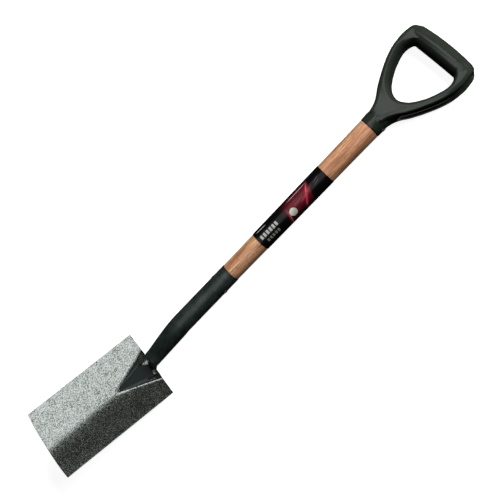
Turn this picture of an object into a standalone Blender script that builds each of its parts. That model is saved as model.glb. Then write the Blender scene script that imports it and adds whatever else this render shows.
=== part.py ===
"""Garden spade: pressed steel blade, riveted tubular socket, wooden shaft, moulded D handle.

The spade is drawn with its shaft along X, handle towards +X and the front of the blade
towards +Z, with X = 0 at the socket's rim.  The whole assembly is then tilted about Y so
that it lies on its back with the frog of the blade and the grip on Z = 0.
"""
import math

import bmesh
import bpy
from mathutils import Matrix, Vector

MM = 0.001
GAP = 0.0003                      # clearance between neighbouring pieces

# Blade
BLADE_WIDTH = 140 * MM
BLADE_LENGTH = 229 * MM
BLADE_THICKNESS = 2.0 * MM
BLADE_TOP_X = -226 * MM           # tread line, measured along the shaft
BLADE_TOP_Z = -23 * MM            # chord of the tread, behind the shaft's axis
BLADE_LIFT = math.radians(19.5)   # forward tilt of the blade from the shaft's axis
EDGE_BOW = 5 * MM                 # bow of the cutting edge
DISH_DEPTH = 9 * MM               # hollow of the front face across its width
DISH_SOFTNESS = 0.25              # how round the middle of the dish is
FROG_HALF_WIDTH = 33.5 * MM       # triangular trough at the tread
FROG_LENGTH = 79 * MM
FROG_DEPTH = 8 * MM               # below the middle of the dish
FROG_WALL_SLOPE = 0.72
FROG_LEAST_HALF_WIDTH = 1.6 * MM

# Socket
SOCKET_RADIUS = 17.9 * MM         # at the rim
SOCKET_BEND_RADIUS = 18.1 * MM    # where the neck starts
SOCKET_WALL = 1.7 * MM
RIM_CHAMFER = 0.4 * MM
SOCKET_BEND_X = -128 * MM
NECK_X = -219 * MM
NECK_HALF_WIDTH = 15.8 * MM
NECK_TOP_Z = -4 * MM
NECK_BOTTOM_Z = -26 * MM
BORE_END_X = -118 * MM
TONGUE_LENGTH = 74 * MM
TONGUE_START = 7 * MM            # where the tube is fully flattened, from the tread
SHOULDER_HALF_WIDTH = 7 * MM      # of the flattened end where it starts
SHOULDER_SLOPE = 0.7              # how fast it widens to the left until it meets the frog's wall
RIGHT_SHOULDER_SLOPE = 5          # and to the right
TONGUE_THICKNESS = 4.6 * MM
TONGUE_TIP_THICKNESS = 1.3 * MM
TONGUE_EDGE_CUT = 1.6 * MM        # chamfer that leaves the welds' groove
SEAT_GAP = 0.35 * MM              # height between the tongue and the frog's floor
WALL_GAP = 0.65 * MM              # the same, measured across the sloping walls
# Sections of the drop from the neck to the tongue: place along the blade, thickness,
# half width, and how far the oval has turned into the tongue's section.
DROP_SECTIONS = ((1, 28, 15.4, 0.2), (3, 19, 12, 0.5), (5, 10, 8.6, 0.9))
RING_POINTS = 40

# Shaft
SHAFT_TOP_RADIUS = 19.1 * MM
SHAFT_BOTTOM_RADIUS = 17.2 * MM
COLLAR_X = 335.5 * MM
SHAFT_LOWER_END_X = -70 * MM
SHAFT_UPPER_END_X = 366 * MM
LOWER_TENON_RADIUS = 15.8 * MM
UPPER_TENON_RADIUS = 16.4 * MM
UPPER_TENON_END_RADIUS = 12.6 * MM

# Label
LABEL_LOW_X = 74.6 * MM
LABEL_HIGH_X = 232.9 * MM
LABEL_THICKNESS = 0.35 * MM

# Handle
COLLAR_RADIUS = 19.9 * MM
GRIP_X = 497.4 * MM
GRIP_RADIUS = 17.5 * MM
GRIP_END_RADIUS = 16 * MM
GRIP_BOW = 2.2 * MM
GRIP_HALF_LENGTH = 60 * MM
GRIP_DOME_START = 52 * MM         # from where its ends are rounded off inside the arms
GRIP_DOME_REACH = 17 * MM
ARM_HALF_DEPTH = 17.2 * MM
CHANNEL_HALF_HEIGHT = 12.8 * MM
CHANNEL_DEPTH = 8 * MM

# Rivets
RIVET_RADIUS = 2.4 * MM
RIVET_HEAD_RADIUS = 4.1 * MM
RIVET_HEAD_HEIGHT = 1.2 * MM
HOLE_RADIUS = RIVET_RADIUS + GAP
SOCKET_RIVET_X = -29 * MM
HANDLE_RIVET_X = 349 * MM

# Welds
WELD_START = 22 * MM
WELD_END = 69 * MM
WELD_CROWN = 0.9 * MM


def clear_scene():
    for old in list(bpy.data.objects):
        bpy.data.objects.remove(old, do_unlink=True)


def material(name, colour, roughness, metallic):
    made = bpy.data.materials.new(name)
    made.use_nodes = True
    shader = made.node_tree.nodes["Principled BSDF"]
    shader.inputs["Base Color"].default_value = (*colour, 1.0)
    shader.inputs["Roughness"].default_value = roughness
    shader.inputs["Metallic"].default_value = metallic
    return made


def add_object(name, bm, finish, sharp_angle=35):
    bmesh.ops.recalc_face_normals(bm, faces=bm.faces)
    mesh = bpy.data.meshes.new(name)
    bm.to_mesh(mesh)
    bm.free()
    mesh.shade_smooth()
    mesh.set_sharp_from_angle(angle=math.radians(sharp_angle))
    mesh.materials.append(finish)
    made = bpy.data.objects.new(name, mesh)
    bpy.context.scene.collection.objects.link(made)
    return made


def hide_cutter(cutter):
    cutter.hide_render = True
    cutter.display_type = "WIRE"


def add_boolean(target, cutter, operation):
    hide_cutter(cutter)
    modifier = target.modifiers.new(cutter.name, "BOOLEAN")
    modifier.operation = operation
    modifier.solver = "EXACT"
    modifier.object = cutter


def loft(rings):
    """Bridge closed rings of equal size, and close both ends with a fan."""
    bm = bmesh.new()
    rows = [[bm.verts.new(point) for point in ring] for ring in rings]
    count = len(rows[0])
    for lower, upper in zip(rows, rows[1:]):
        for i in range(count):
            j = (i + 1) % count
            bm.faces.new((lower[i], lower[j], upper[j], upper[i]))
    for row in (rows[0], rows[-1]):
        centre = sum((vert.co for vert in row), Vector()) / count
        hub = bm.verts.new(centre)
        for i in range(count):
            bm.faces.new((row[i], row[(i + 1) % count], hub))
    return bm


def round_ring(x, radius, centre_y=0.0, centre_z=0.0, count=RING_POINTS):
    ring = []
    for i in range(count):
        angle = 2 * math.pi * i / count
        ring.append((x, centre_y + radius * math.cos(angle), centre_z + radius * math.sin(angle)))
    return ring


def turned(profile, count=RING_POINTS):
    """Solid turned about the X axis from (x, radius) pairs."""
    return loft([round_ring(x, radius, count=count) for x, radius in profile])


def shaft_radius(x):
    share = x / COLLAR_X
    return SHAFT_BOTTOM_RADIUS + (SHAFT_TOP_RADIUS - SHAFT_BOTTOM_RADIUS) * share


# ---------------------------------------------------------------- blade

def blade_point(along, across, height):
    """Point on the blade: along from the tread, across the width, height over the chord."""
    down = Vector((-math.cos(BLADE_LIFT), 0, math.sin(BLADE_LIFT)))
    front = Vector((math.sin(BLADE_LIFT), 0, math.cos(BLADE_LIFT)))
    tread = Vector((BLADE_TOP_X, 0, BLADE_TOP_Z))
    return tread + down * along + Vector((0, across, 0)) + front * height


def dish_height(across):
    share = abs(across) / (BLADE_WIDTH / 2)
    rise = math.hypot(share, DISH_SOFTNESS) - DISH_SOFTNESS
    full = math.hypot(1, DISH_SOFTNESS) - DISH_SOFTNESS
    return -DISH_DEPTH * (1 - rise / full)


def frog_half_width(along):
    share = max(0.0, 1 - along / FROG_LENGTH)
    return FROG_LEAST_HALF_WIDTH + (FROG_HALF_WIDTH - FROG_LEAST_HALF_WIDTH) * share


def floor_height(along):
    share = max(0.0, 1 - along / FROG_LENGTH)
    return -DISH_DEPTH - FROG_DEPTH * share


def floor_half_width(along):
    rim = frog_half_width(along)
    run = (dish_height(rim) - floor_height(along)) / FROG_WALL_SLOPE
    return max(rim - run, 0.35 * rim)


def front_height(along, across):
    rim = frog_half_width(along)
    floor = floor_half_width(along)
    side = abs(across)
    if along >= FROG_LENGTH or side >= rim:
        return dish_height(across)
    if side <= floor:
        return floor_height(along)
    share = (side - floor) / (rim - floor)
    return floor_height(along) + share * (dish_height(rim) - floor_height(along))


def blade_columns(along):
    """Places across the blade that follow the frog's walls, from the middle outwards."""
    rim = frog_half_width(along)
    floor = floor_half_width(along)
    edge = BLADE_WIDTH / 2
    side = [floor * 0.5, floor, (floor + rim) / 2, rim]
    outer_steps = 6
    side += [rim + (edge - rim) * (i / outer_steps) ** 1.2 for i in range(1, outer_steps + 1)]
    return [-y for y in reversed(side)] + [0.0] + side


def blade_rows():
    trough_steps = 12
    lower_steps = 9
    rows = [FROG_LENGTH * i / trough_steps for i in range(trough_steps + 1)]
    rest = BLADE_LENGTH - FROG_LENGTH
    rows += [FROG_LENGTH + rest * i / lower_steps for i in range(1, lower_steps + 1)]
    return rows


def surface_normal(along, across):
    step = 0.4 * MM
    rise_along = front_height(along + step, across) - front_height(along - step, across)
    rise_across = front_height(along, across + step) - front_height(along, across - step)
    return Vector((-rise_along, -rise_across, 2 * step)).normalized()


def make_blade(finish):
    bm = bmesh.new()
    rows = blade_rows()
    fronts = []
    backs = []
    for row_index, along in enumerate(rows):
        columns = blade_columns(along)
        front_row = []
        back_row = []
        for column_index, across in enumerate(columns):
            share = across / (BLADE_WIDTH / 2)
            stretch = EDGE_BOW * (1 - share ** 2) * max(0.0, along - FROG_LENGTH)
            place = along + stretch / (BLADE_LENGTH - FROG_LENGTH)
            height = front_height(along, across)
            normal = surface_normal(along, across)
            if row_index in (0, len(rows) - 1):
                normal.x = 0
            if column_index in (0, len(columns) - 1):
                normal.y = 0
            normal.normalize()
            front_row.append(bm.verts.new(blade_point(place, across, height)))
            back_row.append(bm.verts.new(blade_point(
                place - normal.x * BLADE_THICKNESS,
                across - normal.y * BLADE_THICKNESS,
                height - normal.z * BLADE_THICKNESS)))
        fronts.append(front_row)
        backs.append(back_row)
    width = len(fronts[0])
    for sheet in (fronts, backs):
        for upper, lower in zip(sheet, sheet[1:]):
            for i in range(width - 1):
                bm.faces.new((upper[i], upper[i + 1], lower[i + 1], lower[i]))
    for row in (0, -1):
        front = fronts[row]
        back = backs[row]
        for i in range(width - 1):
            bm.faces.new((front[i], front[i + 1], back[i + 1], back[i]))
    for column in (0, -1):
        front = [row[column] for row in fronts]
        back = [row[column] for row in backs]
        for i in range(len(rows) - 1):
            bm.faces.new((front[i], front[i + 1], back[i + 1], back[i]))
    return add_object("blade", bm, finish, sharp_angle=50)


# ---------------------------------------------------------------- socket

def smooth_share(value):
    value = min(1.0, max(0.0, value))
    return value * value * (3 - 2 * value)


def mixed(start, end, share):
    return start + (end - start) * share


def oval_ring(x_top, x_bottom, half_width, top, bottom):
    """Oval section whose top and bottom may lie at different x, so it can lean."""
    ring = []
    for i in range(RING_POINTS):
        angle = 2 * math.pi * i / RING_POINTS
        share = (1 + math.sin(angle)) / 2
        ring.append(Vector((
            mixed(x_bottom, x_top, share),
            half_width * math.cos(angle),
            mixed(bottom, top, share))))
    return ring


def neck_rings():
    """Sections from the round tube to the neck, whose front is pressed back most."""
    rings = []
    steps = 8
    for i in range(1, steps + 1):
        share = i / steps
        pressed = (smooth_share(share) + share ** 2) / 2
        x = mixed(SOCKET_BEND_X, NECK_X, share)
        half_width = mixed(SOCKET_BEND_RADIUS, NECK_HALF_WIDTH, pressed)
        top = mixed(SOCKET_BEND_RADIUS, NECK_TOP_Z, pressed)
        bottom = mixed(-SOCKET_BEND_RADIUS, NECK_BOTTOM_Z, math.sqrt(share))
        rings.append(oval_ring(x, x, half_width, top, bottom))
    return rings


def wall_across(along, height):
    """Distance from the middle to the frog's sloping wall at a height over its floor."""
    floor = floor_half_width(along)
    rise = dish_height(frog_half_width(along)) - floor_height(along)
    return floor + height * (frog_half_width(along) - floor) / rise


def tongue_section(along, lift, widest):
    """Corners of half the tongue's section, as (ring step, across, height over the floor)."""
    cut = min(TONGUE_EDGE_CUT, 0.6 * lift)

    def side(height):
        return min(wall_across(along, height) - WALL_GAP, widest)

    quarter = RING_POINTS // 4
    return (
        (-quarter, 0, SEAT_GAP),
        (-quarter * 0.3, side(SEAT_GAP), SEAT_GAP),
        (0, side(lift / 2), lift / 2),
        (quarter * 0.2, side(lift - cut), lift - cut),
        (quarter * 0.4, side(lift - cut) - 1.3 * cut, lift),
        (quarter, 0, lift),
    )


def tongue_ring(along, lift, widest, right_widest):
    """Closed section whose two halves may reach out to different widths."""
    halves = {1: tongue_section(along, lift, widest), -1: tongue_section(along, lift, right_widest)}
    quarter = RING_POINTS // 4
    ring = []
    for i in range(RING_POINTS):
        step = i if i <= quarter else 2 * quarter - i
        side = 1
        if i > quarter:
            side = -1
        if i > 3 * quarter:
            step = i - 4 * quarter
            side = 1
        corners = halves[side]
        for (low, y1, h1), (high, y2, h2) in zip(corners, corners[1:]):
            if low <= step <= high:
                share = (step - low) / (high - low)
                across = side * mixed(y1, y2, share)
                height = floor_height(along) + mixed(h1, h2, share)
                ring.append(blade_point(along, across, height))
                break
    return ring


def tongue_lift(along):
    """Thickness of the flattened end, which thins towards the frog's tip."""
    share = (along - TONGUE_START) / (TONGUE_LENGTH - TONGUE_START)
    return mixed(TONGUE_THICKNESS, TONGUE_TIP_THICKNESS, share)


def shoulder_half_width(along, slope):
    """Half width that the flattened end widens to, before the frog's walls limit it."""
    return SHOULDER_HALF_WIDTH + slope * (along - TONGUE_START)


def tongue_rings():
    """Sections from the neck's drop into the frog to the tongue's tip."""
    rings = []
    for section in DROP_SECTIONS:
        along, lift, widest = (value * MM for value in section[:3])
        squareness = section[3]
        floor = floor_height(along)
        top = blade_point(along, 0, floor + lift)
        bottom = blade_point(along, 0, floor + SEAT_GAP)
        oval = oval_ring(top.x, bottom.x, widest, top.z, bottom.z)
        square = tongue_ring(along, lift, widest, widest)
        rings.append([start.lerp(end, squareness) for start, end in zip(oval, square)])
    steps = 12
    for i in range(steps + 1):
        along = mixed(TONGUE_START, TONGUE_LENGTH, i / steps)
        left = shoulder_half_width(along, SHOULDER_SLOPE)
        right = shoulder_half_width(along, RIGHT_SHOULDER_SLOPE)
        rings.append(tongue_ring(along, tongue_lift(along), left, right))
    return rings


def make_socket(finish):
    bore = SOCKET_RADIUS - SOCKET_WALL
    rings = [round_ring(BORE_END_X, bore)]
    rings.append(round_ring(-RIM_CHAMFER, bore))
    rings.append(round_ring(0, bore + RIM_CHAMFER))
    rings.append(round_ring(0, SOCKET_RADIUS - RIM_CHAMFER))
    rings.append(round_ring(-RIM_CHAMFER, SOCKET_RADIUS))
    rings.append(round_ring(SOCKET_BEND_X, SOCKET_BEND_RADIUS))
    rings += neck_rings()
    rings += tongue_rings()
    return add_object("socket", loft(rings), finish, sharp_angle=40)


def make_weld(name, side, finish):
    """Bead that fills the groove between the tongue's chamfer and one wall of the frog."""
    rings = []
    steps = 11
    for i in range(steps + 1):
        along = mixed(WELD_START, WELD_END, i / steps)
        section = tongue_section(along, tongue_lift(along), BLADE_WIDTH)
        (_, low_across, low), (_, top_across, top) = section[3:5]
        over = 0.5 * MM
        corners = (
            (low_across - 0.1 * MM, low + 0.6 * MM),
            (wall_across(along, top + over) - WALL_GAP, top + over),
            (mixed(low_across, top_across, 0.3) + 0.2 * MM, top + WELD_CROWN),
            (top_across + 0.2 * MM, top + 0.5 * MM),
        )
        floor = floor_height(along)
        rings.append([blade_point(along, side * across, floor + height) for across, height in corners])
    return add_object(name, loft(rings), finish, sharp_angle=60)


# ---------------------------------------------------------------- shaft and label

def make_shaft(finish):
    profile = [
        (SHAFT_LOWER_END_X, 0.55 * SHAFT_BOTTOM_RADIUS),
        (SHAFT_LOWER_END_X + 4 * MM, 0.7 * SHAFT_BOTTOM_RADIUS),
        (SOCKET_RIVET_X - 8 * MM, LOWER_TENON_RADIUS - 0.8 * MM),
        (SOCKET_RIVET_X + 8 * MM, LOWER_TENON_RADIUS),
        (GAP, LOWER_TENON_RADIUS),
        (GAP, SHAFT_BOTTOM_RADIUS - 0.6 * MM),
        (GAP + 0.8 * MM, SHAFT_BOTTOM_RADIUS),
        (COLLAR_X / 2, shaft_radius(COLLAR_X / 2)),
        (COLLAR_X - GAP, shaft_radius(COLLAR_X)),
        (COLLAR_X - GAP, UPPER_TENON_RADIUS),
        (HANDLE_RIVET_X + 5 * MM, UPPER_TENON_RADIUS - 0.6 * MM),
        (SHAFT_UPPER_END_X, UPPER_TENON_END_RADIUS),
    ]
    return add_object("shaft", turned(profile), finish)


def make_label_sleeve(finish):
    bm = bmesh.new()
    corners = []
    for x in (LABEL_LOW_X, LABEL_HIGH_X):
        corners.append((x, shaft_radius(x) + GAP))
        corners.append((x, shaft_radius(x) + GAP + LABEL_THICKNESS))
    order = [corners[0], corners[1], corners[3], corners[2]]
    rows = [[bm.verts.new(point) for point in round_ring(x, radius)] for x, radius in order]
    for i, row in enumerate(rows):
        following = rows[(i + 1) % len(rows)]
        for k in range(RING_POINTS):
            j = (k + 1) % RING_POINTS
            bm.faces.new((row[k], row[j], following[j], following[k]))
    return add_object("label_sleeve", bm, finish)


# ---------------------------------------------------------------- handle

# Half of each outline, as distance along the shaft and distance from it.
ARM_OUTSIDE = ((352, 14), (366, 18), (377, 24), (391, 35), (408, 45.6), (430, 57.4), (452, 66),
               (474, 69.7), (489, 69.6), (502, 67), (509.5, 61.5), (512, 50))
HAND_GAP = ((397.5, 0), (399, 9), (403.5, 18), (412, 28), (430, 40.6), (450, 49.6),
            (462, 53), (471, 52.5), (479, 48), (485, 40))


def smooth_line(points, steps):
    """Catmull-Rom curve through points given in millimetres."""
    line = []
    ends = [points[0]] + list(points) + [points[-1]]
    for a, b, c, d in zip(ends, ends[1:], ends[2:], ends[3:]):
        for i in range(steps):
            t = i / steps
            point = []
            for p, q, r, s in zip(a, b, c, d):
                square = (2 * p - 5 * q + 4 * r - s) * t ** 2
                cube = (3 * q - p - 3 * r + s) * t ** 3
                point.append(0.5 * MM * (2 * q + (r - p) * t + square + cube))
            line.append(tuple(point))
    line.append((points[-1][0] * MM, points[-1][1] * MM))
    return line


def mirrored_outline(half):
    """Closed outline from one side's half, whose ends on the centre line aren't doubled."""
    other = [(x, -y) for x, y in reversed(half) if y > 0.1 * MM]
    return list(half) + other


def outline_normals(outline):
    """Unit vectors across a closed outline, pointing away from its middle."""
    area = 0
    for (x1, y1), (x2, y2) in zip(outline, outline[1:] + outline[:1]):
        area += x1 * y2 - x2 * y1
    turn = 1 if area > 0 else -1
    normals = []
    for i in range(len(outline)):
        before = outline[i - 1]
        after = outline[(i + 1) % len(outline)]
        run = Vector((after[0] - before[0], after[1] - before[1])).normalized()
        normals.append(Vector((run.y, -run.x)) * turn)
    return normals


def plate_half_depth(x):
    """Half depth of the arms: deeper at the collar, and rounded about the grip at the end."""
    collar = 0.12 * ARM_HALF_DEPTH * (1 - smooth_share((x - 356 * MM) / (36 * MM)))
    end = (GRIP_END_RADIUS - ARM_HALF_DEPTH) * smooth_share((x - 462 * MM) / (30 * MM))
    depth = ARM_HALF_DEPTH + collar + end
    beyond = max(0.0, x - GRIP_X)
    return depth * math.sqrt(max(0.1, 1 - (beyond / GRIP_END_RADIUS) ** 2))


def grip_face_shift(x, height):
    """Extra x that keeps the hand gap's corner on the grip's round surface."""
    radius = GRIP_END_RADIUS
    curve = radius - math.sqrt(radius ** 2 - min(height, 0.97 * radius) ** 2)
    return curve * smooth_share((x - 464 * MM) / (18 * MM))


def channel_share(x):
    start = smooth_share((x - 367 * MM) / (15 * MM))
    end = 1 - smooth_share((x - 506 * MM) / (6 * MM))
    return start * end


def make_arms(finish):
    """Y-shaped plate with rounded edges, with a channel along the outside of each arm."""
    flange = CHANNEL_HALF_HEIGHT / ARM_HALF_DEPTH
    outer_levels = [(1, 4.2 * MM, 0), (0.95, 1.7 * MM, 0), (0.85, 0.2 * MM, 0)]
    outer_levels += [(flange, 0.3 * MM, 0.05), (flange - 0.05, 0, 1)]
    outer_levels += [(-z, inset, channel) for z, inset, channel in reversed(outer_levels)]
    inner_levels = [(1, 3.8 * MM, 0), (0.93, 1.3 * MM, 0), (0.75, 0.2 * MM, 0), (0.4, 0, 0)]
    inner_levels += [(-z, inset, channel) for z, inset, channel in reversed(inner_levels)]

    bm = bmesh.new()
    loops = []
    for half, levels, outwards in ((ARM_OUTSIDE, outer_levels, 1), (HAND_GAP, inner_levels, -1)):
        outline = mirrored_outline(smooth_line(half, 3))
        normals = outline_normals(outline)
        rows = []
        for z, inset, channel in levels:
            row = []
            for (x, y), normal in zip(outline, normals):
                cut = (inset + channel * CHANNEL_DEPTH * channel_share(x)) * outwards
                height = z * plate_half_depth(x)
                place = x - normal.x * cut
                if outwards < 0:
                    place = max(place, x + grip_face_shift(x, abs(height)))
                row.append(bm.verts.new((place, y - normal.y * cut, height)))
            rows.append(row)
        for upper, lower in zip(rows, rows[1:]):
            for i in range(len(outline)):
                j = (i + 1) % len(outline)
                bm.faces.new((upper[i], upper[j], lower[j], lower[i]))
        loops.append((rows[0], rows[-1]))
    for level in (0, 1):
        edges = []
        for pair in loops:
            row = pair[level]
            for i in range(len(row)):
                edges.append(bm.edges.get((row[i], row[(i + 1) % len(row)])))
        bmesh.ops.triangle_fill(bm, edges=edges, use_beauty=True, use_dissolve=False)
    return add_object("handle", bm, finish, sharp_angle=40)


def make_grip_body(finish):
    """Barrel-shaped bar across the top of the handle."""
    steps = 12
    rings = []
    for i in range(steps + 1):
        share = 2 * i / steps - 1
        barrel = GRIP_RADIUS - (GRIP_RADIUS - GRIP_END_RADIUS) * abs(share) ** 2.2
        past = max(0.0, abs(share) * GRIP_HALF_LENGTH - GRIP_DOME_START) / GRIP_DOME_REACH
        radius = barrel * math.sqrt(1 - past ** 2)
        middle = GRIP_X + GRIP_BOW * (1 - share ** 2)
        ring = []
        for k in range(32):
            angle = 2 * math.pi * k / 32
            x = middle + radius * math.cos(angle)
            ring.append((x, GRIP_HALF_LENGTH * share, radius * math.sin(angle)))
        rings.append(ring)
    return add_object("grip_body", loft(rings), finish)


def make_collar_body(finish):
    profile = [
        (COLLAR_X, COLLAR_RADIUS - 0.8 * MM),
        (COLLAR_X + 0.8 * MM, COLLAR_RADIUS),
        (356 * MM, COLLAR_RADIUS),
        (364 * MM, COLLAR_RADIUS - 1 * MM),
        (376 * MM, 16.4 * MM),
        (388 * MM, 13.4 * MM),
        (395 * MM, 10 * MM),
    ]
    return add_object("collar_body", turned(profile), finish)


def make_bore_cutter(finish):
    profile = [
        (COLLAR_X - 5 * MM, UPPER_TENON_RADIUS + GAP),
        (COLLAR_X, UPPER_TENON_RADIUS + GAP),
        (HANDLE_RIVET_X + 5 * MM, UPPER_TENON_RADIUS - 0.6 * MM + GAP),
        (SHAFT_UPPER_END_X + 1 * MM, UPPER_TENON_END_RADIUS + GAP),
    ]
    return add_object("collar_bore", turned(profile), finish)


def cross_cutter(name, x, finish):
    """Cylinder across the shaft, for a rivet's hole."""
    half = COLLAR_RADIUS + 8 * MM
    rings = []
    for y in (-half, half):
        ring = []
        for k in range(20):
            angle = 2 * math.pi * k / 20
            ring.append((x + HOLE_RADIUS * math.cos(angle), y, HOLE_RADIUS * math.sin(angle)))
        rings.append(ring)
    return add_object(name, loft(rings), finish)


def make_rivet(name, x, seat, finish):
    """Shank across the shaft with a low dome on each end; seat is the outside it sits on."""
    under = seat + GAP
    half = [(under, RIVET_RADIUS), (under, RIVET_HEAD_RADIUS)]
    edge = 0.25 * RIVET_HEAD_HEIGHT
    dome_steps = 4
    for i in range(1, dome_steps + 1):
        angle = math.radians(78) * i / dome_steps
        y = under + edge + (RIVET_HEAD_HEIGHT - edge) * math.sin(angle)
        half.append((y, RIVET_HEAD_RADIUS * math.cos(angle)))
    full = [(-y, radius) for y, radius in reversed(half)] + half
    rings = []
    for y, radius in full:
        ring = []
        for k in range(20):
            angle = 2 * math.pi * k / 20
            ring.append((x + radius * math.cos(angle), y, radius * math.sin(angle)))
        rings.append(ring)
    return add_object(name, loft(rings), finish)


# ---------------------------------------------------------------- assembly

def resting_matrix():
    """Tilt and lift that lay the frog's back edge and the grip's back on Z = 0."""
    heel = blade_point(0, 0, floor_height(0) - BLADE_THICKNESS)
    to_grip = Vector((GRIP_X + GRIP_BOW - heel.x, -heel.z))
    tangent = math.atan2(to_grip.y, to_grip.x) - math.asin(GRIP_RADIUS / to_grip.length)
    tilt = Matrix.Rotation(tangent, 4, "Y")
    lowest = (tilt @ Matrix.Translation(heel)).translation.z
    tip = tilt @ blade_point(BLADE_LENGTH + EDGE_BOW, 0, dish_height(0) - BLADE_THICKNESS)
    far = tilt @ Vector((GRIP_X + GRIP_BOW, 0, 0))
    middle = (tip.x + far.x + GRIP_RADIUS) / 2
    return Matrix.Translation((-middle, 0, -lowest)) @ tilt


def main():
    clear_scene()
    painted = material("hammered_paint", (0.035, 0.05, 0.04), 0.35, 0.6)
    socket_paint = material("socket_paint", (0.02, 0.028, 0.026), 0.35, 0.4)
    weld_paint = material("weld_paint", (0.04, 0.055, 0.045), 0.4, 0.5)
    wood = material("varnished_wood", (0.45, 0.2, 0.08), 0.4, 0.0)
    film = material("label_film", (0.02, 0.015, 0.018), 0.2, 0.0)
    plastic = material("moulded_plastic", (0.03, 0.042, 0.035), 0.38, 0.0)
    zinc = material("rivet_steel", (0.6, 0.6, 0.58), 0.3, 1.0)

    blade = make_blade(painted)
    socket = make_socket(socket_paint)
    welds = [make_weld("weld_left", 1, weld_paint), make_weld("weld_right", -1, weld_paint)]
    shaft = make_shaft(wood)
    label = make_label_sleeve(film)
    handle = make_arms(plastic)
    grip_body = make_grip_body(plastic)
    collar_body = make_collar_body(plastic)
    bore = make_bore_cutter(plastic)
    socket_hole = cross_cutter("socket_rivet_hole", SOCKET_RIVET_X, zinc)
    handle_hole = cross_cutter("handle_rivet_hole", HANDLE_RIVET_X, zinc)
    socket_rivet = make_rivet("socket_rivet", SOCKET_RIVET_X, SOCKET_RADIUS, zinc)
    handle_rivet = make_rivet("handle_rivet", HANDLE_RIVET_X, COLLAR_RADIUS, zinc)

    add_boolean(handle, grip_body, "UNION")
    add_boolean(handle, collar_body, "UNION")
    add_boolean(handle, bore, "DIFFERENCE")
    add_boolean(handle, handle_hole, "DIFFERENCE")
    add_boolean(socket, socket_hole, "DIFFERENCE")
    add_boolean(shaft, socket_hole, "DIFFERENCE")
    add_boolean(shaft, handle_hole, "DIFFERENCE")

    spade = bpy.data.objects.new("spade", None)
    bpy.context.scene.collection.objects.link(spade)
    spade.matrix_world = resting_matrix()
    pieces = [blade, socket, shaft, label, handle, socket_rivet, handle_rivet] + welds
    cutters = [grip_body, collar_body, bore, socket_hole, handle_hole]
    for piece in pieces + cutters:
        piece.parent = spade
    bpy.context.view_layer.update()


main()
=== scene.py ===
"""Looks of the garden spade: fine meshes, materials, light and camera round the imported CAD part.

Pieces are made in the spade's own axes: X along the shaft from the socket's rim towards the
handle, Y to the spade's left and Z out of the blade's front.  spade_matrix() lays them on the
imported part, whose rivets give the shaft's line.  Sizes are in metres.
"""
import math

import bmesh
import bpy
import numpy as np
from mathutils import Matrix, Vector, noise
from mathutils.geometry import delaunay_2d_cdt


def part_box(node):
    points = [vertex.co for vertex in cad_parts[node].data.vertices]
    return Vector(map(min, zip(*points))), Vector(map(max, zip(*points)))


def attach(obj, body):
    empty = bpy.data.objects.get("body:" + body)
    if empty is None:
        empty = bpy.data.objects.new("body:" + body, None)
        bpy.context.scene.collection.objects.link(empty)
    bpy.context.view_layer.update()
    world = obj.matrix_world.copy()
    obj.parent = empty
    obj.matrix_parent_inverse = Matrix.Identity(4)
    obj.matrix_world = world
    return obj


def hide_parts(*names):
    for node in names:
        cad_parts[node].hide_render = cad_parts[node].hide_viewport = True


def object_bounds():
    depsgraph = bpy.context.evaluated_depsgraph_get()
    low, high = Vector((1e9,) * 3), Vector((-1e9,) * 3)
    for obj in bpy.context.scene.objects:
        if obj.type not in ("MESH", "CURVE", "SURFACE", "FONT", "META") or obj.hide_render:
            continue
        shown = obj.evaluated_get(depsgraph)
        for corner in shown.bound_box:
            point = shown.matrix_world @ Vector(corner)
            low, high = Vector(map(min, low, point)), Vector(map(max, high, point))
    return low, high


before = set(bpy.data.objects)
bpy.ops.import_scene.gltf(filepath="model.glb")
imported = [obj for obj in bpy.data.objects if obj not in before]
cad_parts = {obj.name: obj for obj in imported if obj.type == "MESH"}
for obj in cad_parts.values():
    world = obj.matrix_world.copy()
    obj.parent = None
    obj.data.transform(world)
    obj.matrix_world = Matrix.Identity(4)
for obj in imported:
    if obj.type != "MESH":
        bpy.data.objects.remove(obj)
CAD_LOW, CAD_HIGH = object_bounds()

MM = 0.001
GAP = 0.3 * MM                # between neighbouring pieces

# Blade
BLADE_WIDTH = 140 * MM
BLADE_LENGTH = 229 * MM
BLADE_THICKNESS = 2.0 * MM
BLADE_TOP_X = -226 * MM
BLADE_TOP_Z = -23 * MM
BLADE_LIFT = math.radians(19.5)
EDGE_BOW = 5 * MM
DISH_DEPTH = 9 * MM
DISH_SOFTNESS = 0.25          # share of the half width over which the dish's bottom is round
FROG_HALF_WIDTH = 33.5 * MM
FROG_LENGTH = 79 * MM
FROG_DEPTH = 8 * MM
FROG_WALL_SLOPE = 0.72
FROG_LEAST_HALF_WIDTH = 1.6 * MM
FOLD_REACH = 1.5 * MM         # half width of the folds' rounding
RIM_RIDGE = 0.6 * MM          # height of the crest that folding leaves round the trough
RIM_RIDGE_WIDTH = 1.3 * MM
SHEET_EDGE_ROUND = 0.4 * MM
PRESS_MARK = 0.16 * MM        # height of the slow unevenness that pressing leaves
PRESS_MARK_LENGTH = 48 * MM
PRESS_MARK_WIDTH = 36 * MM

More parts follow.
